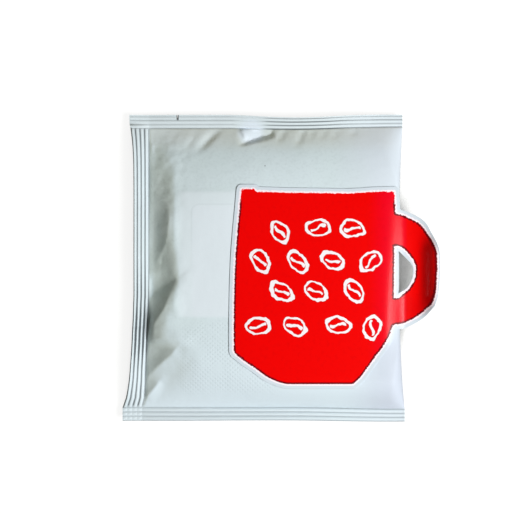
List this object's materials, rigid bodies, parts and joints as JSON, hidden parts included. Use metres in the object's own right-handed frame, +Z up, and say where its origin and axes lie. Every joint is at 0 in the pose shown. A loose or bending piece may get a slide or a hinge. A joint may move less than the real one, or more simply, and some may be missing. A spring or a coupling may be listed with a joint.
{
  "type": "drip coffee bag",
  "caption": "Sealed flat film sachet with crimped seals and a folded edge, lying on its back, with a mug-shaped paper label whose open handle overhangs the fold.",
  "frame": {"origin": "middle of the flat back panel, on the surface that the sachet lies on", "axes": "+X to the right across the sachet, towards the folded edge and the label's handle; +Y up the sachet, towards the seal with the tear slit; +Z up from the surface, out of the labelled front"},
  "size_m": [0.1236, 0.1204, 0.0152],
  "materials": {
    "film": "satin white laminate film",
    "label": "glossy coated paper, printed red with a white border"
  },
  "bodies": {
    "root": {"sachet": "film", "cup_label": "label"}
  },
  "joints": []
}
